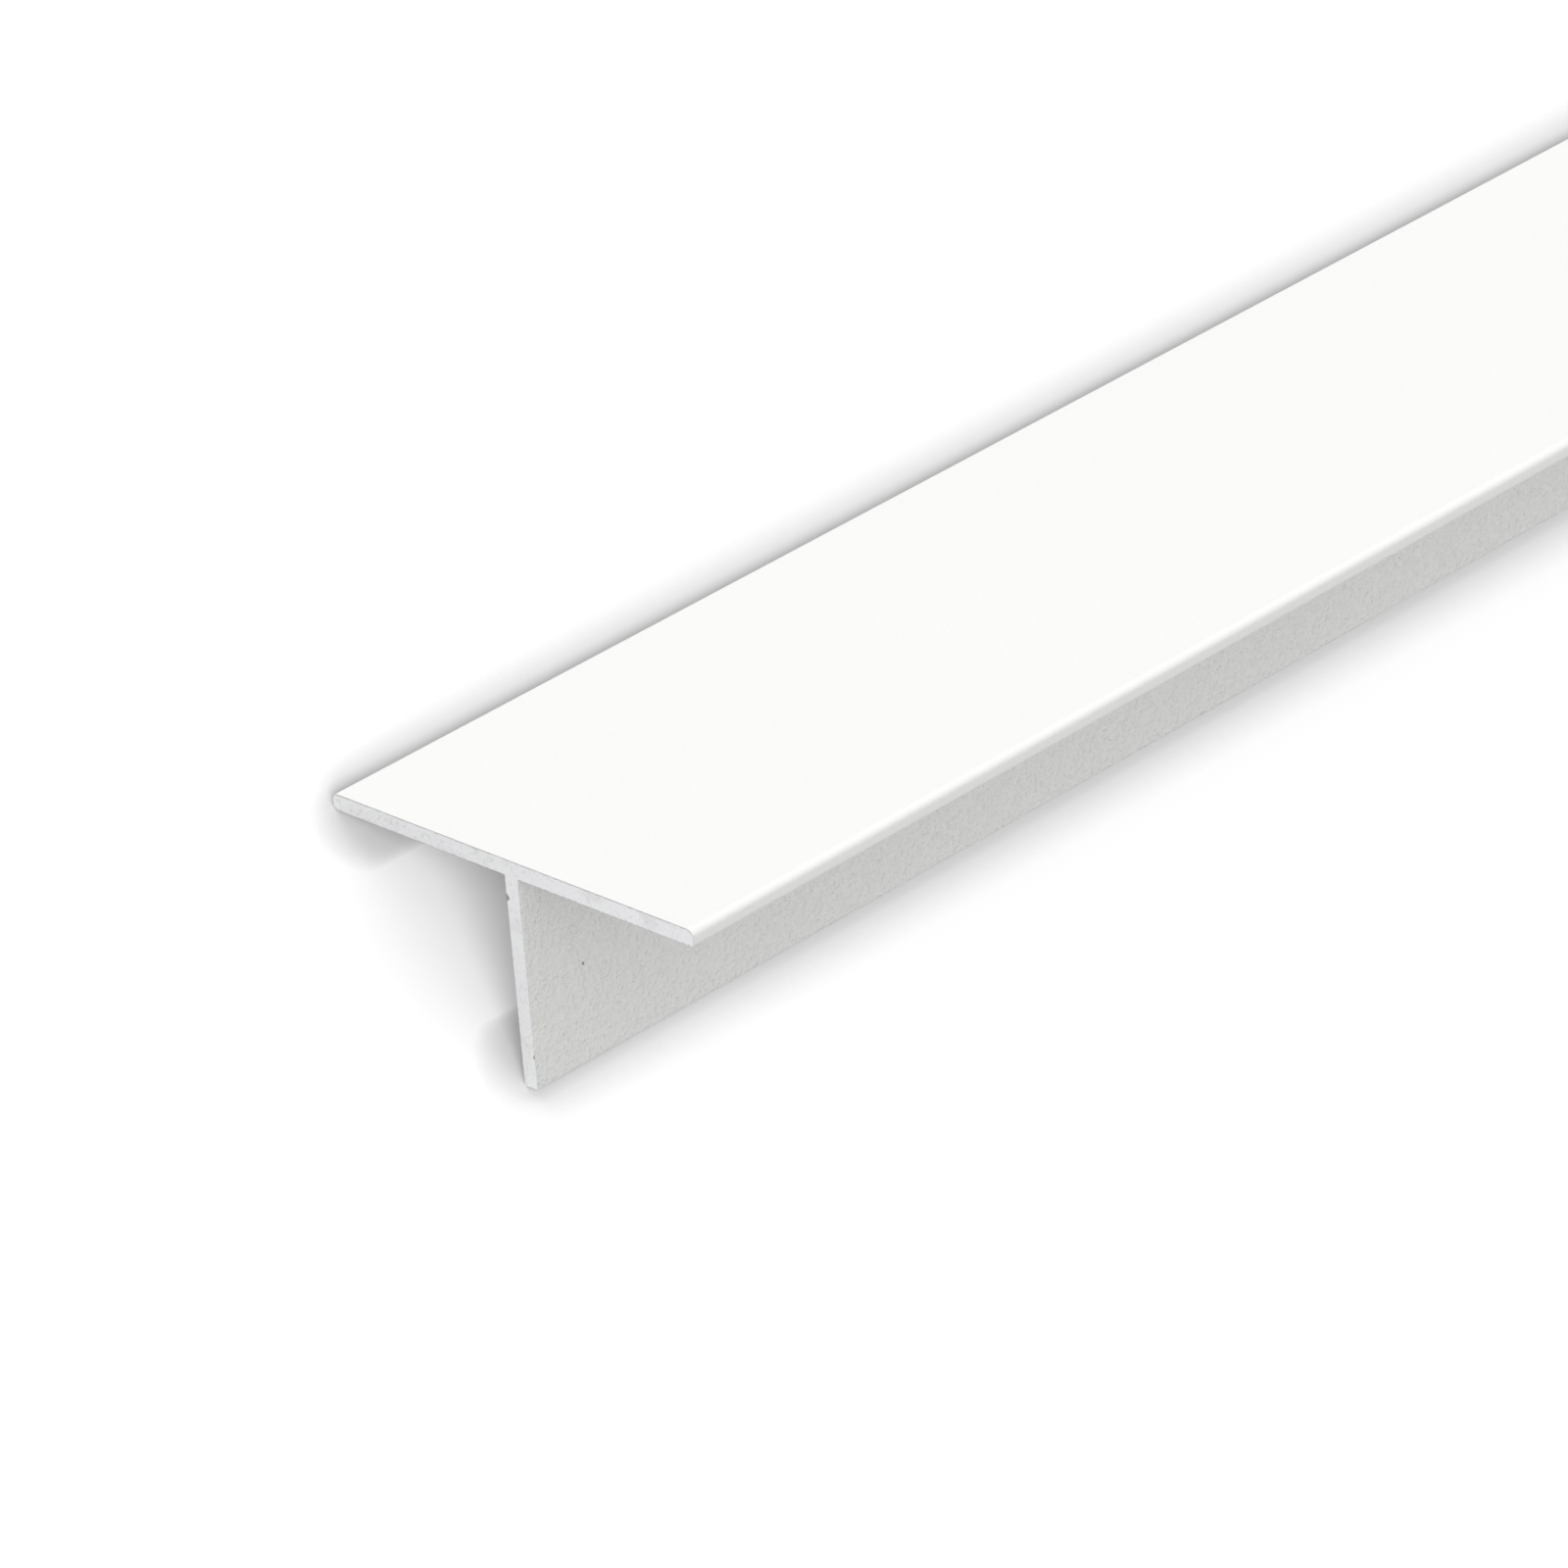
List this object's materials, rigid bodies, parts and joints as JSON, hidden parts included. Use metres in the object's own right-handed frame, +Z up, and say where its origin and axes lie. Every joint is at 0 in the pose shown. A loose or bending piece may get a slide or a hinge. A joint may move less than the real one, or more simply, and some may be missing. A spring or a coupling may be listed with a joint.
{
  "type": "aluminium t-profile",
  "caption": "Straight white-coated aluminium T-section stock with a wide face flange and a centred web, used to edge and light gaps between plasterboard sheets.",
  "frame": {"origin": "on the floor under the middle of the profile's bounding box, with the profile lying unheld", "axes": "+Z up, +Y along the length. The section leans by 44.63 degrees about Y, so that it rests on the hidden edge of the left half of the flange and on the left edge of the web's foot, with the outer face turned up and to -X. The picture's near sawn end is at -Y"},
  "size_m": [0.0292, 1, 0.0288],
  "materials": {
    "white_powder_coat": "white powder coat, fine orange peel, semi-matt; the sawn ends are bare aluminium"
  },
  "bodies": {
    "root": {"t_profile": "white_powder_coat"}
  },
  "joints": []
}
